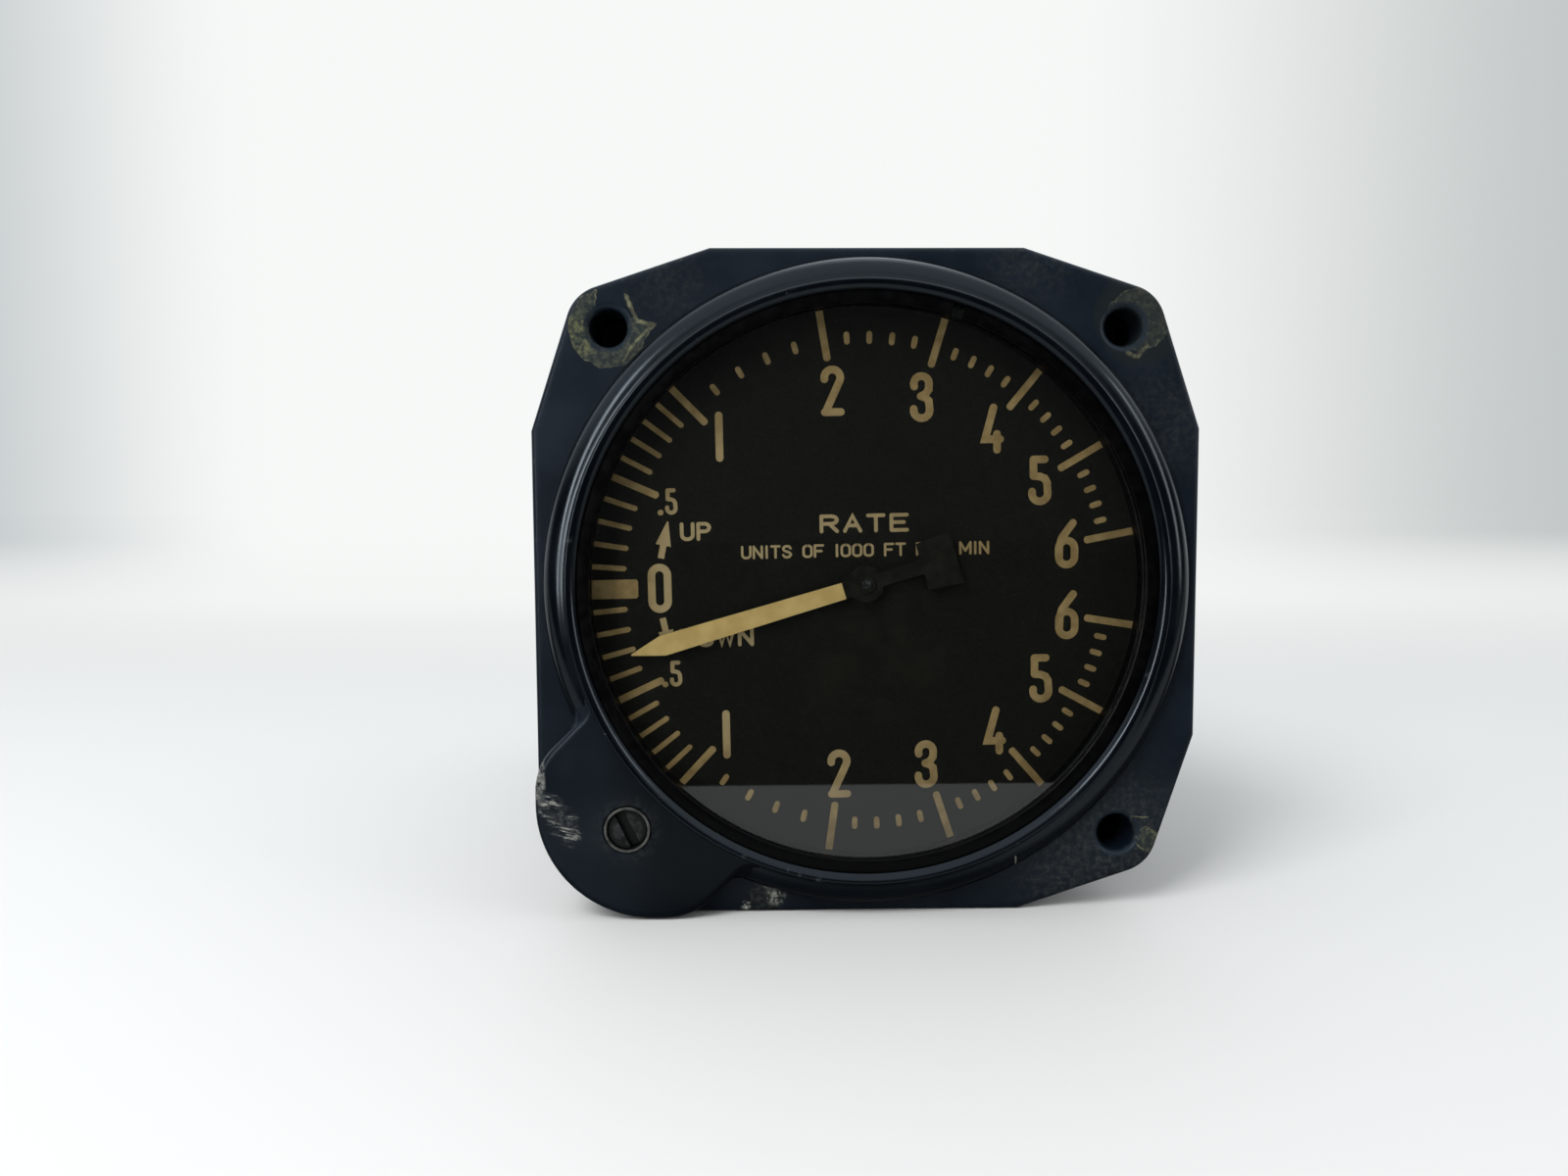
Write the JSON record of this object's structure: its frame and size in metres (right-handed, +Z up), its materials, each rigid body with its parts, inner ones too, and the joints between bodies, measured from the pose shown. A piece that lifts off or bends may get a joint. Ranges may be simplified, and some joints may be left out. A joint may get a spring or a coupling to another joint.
{
  "type": "vertical speed indicator",
  "caption": "Round panel instrument in a square flanged case: pointer over a climb and descent scale, driven by a pressure capsule, link and sector gear, with a zero adjusting screw.",
  "frame": {"origin": "on the case axis at the back face of the mounting flange", "axes": "+Y back along the case, the dial faces -Y, +Z up through the top of the dial, +X to the right of the dial"},
  "size_m": [0.082, 0.1128, 0.082],
  "materials": {
    "case_paint": "semi-gloss blue-black paint, worn to primer and bare metal at the edges",
    "glass": "clear, lightly dusty",
    "gasket": "matt",
    "ring_black": "satin black",
    "dial_black": "matt, aged and stained",
    "marking_paint": "matt aged luminous paint",
    "pointer_black": "matt black",
    "pointer_cream": "matt aged luminous paint",
    "plate_brass": "machined, slightly tarnished",
    "brass": "polished",
    "capsule_bronze": "rolled bronze sheet, tarnished",
    "screw_steel": "turned steel with a slot",
    "arbor_steel": "polished pivots",
    "spring_steel": "blued",
    "worn_steel": "dull, worn paint in the slot",
    "bushing_metal": "dark, rubbed to metal at the rim",
    "fitting_metal": "plated brass, dull"
  },
  "bodies": {
    "instrument_body": {"case": "case_paint", "glass": "glass", "glass_gasket": "gasket", "retaining_ring": "ring_black", "spacer_ring": "ring_black", "dial": "dial_black", "dial_markings": "marking_paint", "dial_feet": "brass", "dial_nuts": "brass", "front_plate": "plate_brass", "movement_screws": "screw_steel", "rear_plate": "plate_brass", "short_pillars": "plate_brass", "front_plate_screws": "screw_steel", "rear_plate_screws": "screw_steel", "stop_pins": "arbor_steel", "hairspring": "spring_steel", "hairspring_stud": "brass", "rocker_brackets": "plate_brass", "bracket_screws": "screw_steel", "capsule_front_diaphragm": "capsule_bronze", "capsule_rear_diaphragm": "capsule_bronze", "capsule_base": "brass", "capsule_leaf": "spring_steel", "leaf_spacer": "spring_steel", "capsule_plate": "plate_brass", "long_pillars": "plate_brass", "capsule_plate_screws": "screw_steel", "manifold_block": "plate_brass", "restrictor": "brass", "restrictor_plug": "screw_steel", "feed_tube": "brass", "zero_bushing": "bushing_metal", "zero_packing": "gasket", "rear_cover": "case_paint", "rear_gasket": "gasket", "rear_cover_screws": "screw_steel", "static_fitting": "fitting_metal", "fitting_nut": "fitting_metal"},
    "pointer_staff": {"pointer": "pointer_black", "pointer_paint": "pointer_cream", "pointer_hub": "pointer_black", "handstaff": "arbor_steel", "pinion": "arbor_steel", "hairspring_collet": "brass"},
    "sector": {"sector_gear": "brass", "sector_arbor": "arbor_steel", "sector_counterweight": "brass", "sector_tail": "arbor_steel"},
    "rocker": {"rocking_shaft": "arbor_steel", "finger_arm": "arbor_steel", "link_arm": "brass"},
    "capsule_drive": {"link": "brass", "capsule_post": "brass"},
    "zero_setter": {"zero_screw": "worn_steel"},
    "zero_arm": {"zero_lever": "arbor_steel", "zero_shaft": "arbor_steel", "zero_cam": "arbor_steel"}
  },
  "joints": [
    {"name": "sector_swing", "type": "hinge", "parent": "instrument_body", "child": "sector", "pos_m": [-0.02441, 0, -0.00625], "axis": [0, 1, 0], "range_deg": [-17.23, 14.23], "stiffness_Nm_per_rad": 0.02},
    {"name": "pointer_turn", "type": "hinge", "parent": "instrument_body", "child": "pointer_staff", "pos_m": [0, 0, 0], "axis": [0, 1, 0], "range_deg": [-156.6, 189.6], "deforming": ["hairspring"]},
    {"name": "rocker_swing", "type": "hinge", "parent": "instrument_body", "child": "rocker", "pos_m": [0, 0.028, -0.00501], "axis": [1, 0, 0], "range_deg": [-17.3, 14.3]},
    {"name": "capsule_travel", "type": "slide", "parent": "instrument_body", "child": "capsule_drive", "axis": [0, 1, 0], "range_m": [-0.00124, 0.0015], "deforming": ["capsule_front_diaphragm"]},
    {"name": "zero_screw_turn", "type": "hinge", "parent": "instrument_body", "child": "zero_setter", "pos_m": [-0.0297, 0, -0.0297], "axis": [0, 1, 0], "range_deg": [-40, 40]},
    {"name": "zero_arm_swing", "type": "hinge", "parent": "instrument_body", "child": "zero_arm", "pos_m": [-0.01945, 0, -0.01945], "axis": [0, 1, 0], "range_deg": [-5, 5]}
  ],
  "couplings": [
    {"joint": "pointer_turn", "follows": "sector_swing", "ratio": -11},
    {"joint": "rocker_swing", "follows": "sector_swing", "ratio": 1},
    {"joint": "capsule_travel", "follows": "sector_swing", "m_per_rad": -0.004947},
    {"joint": "zero_arm_swing", "follows": "zero_screw_turn", "ratio": -0.1108}
  ]
}
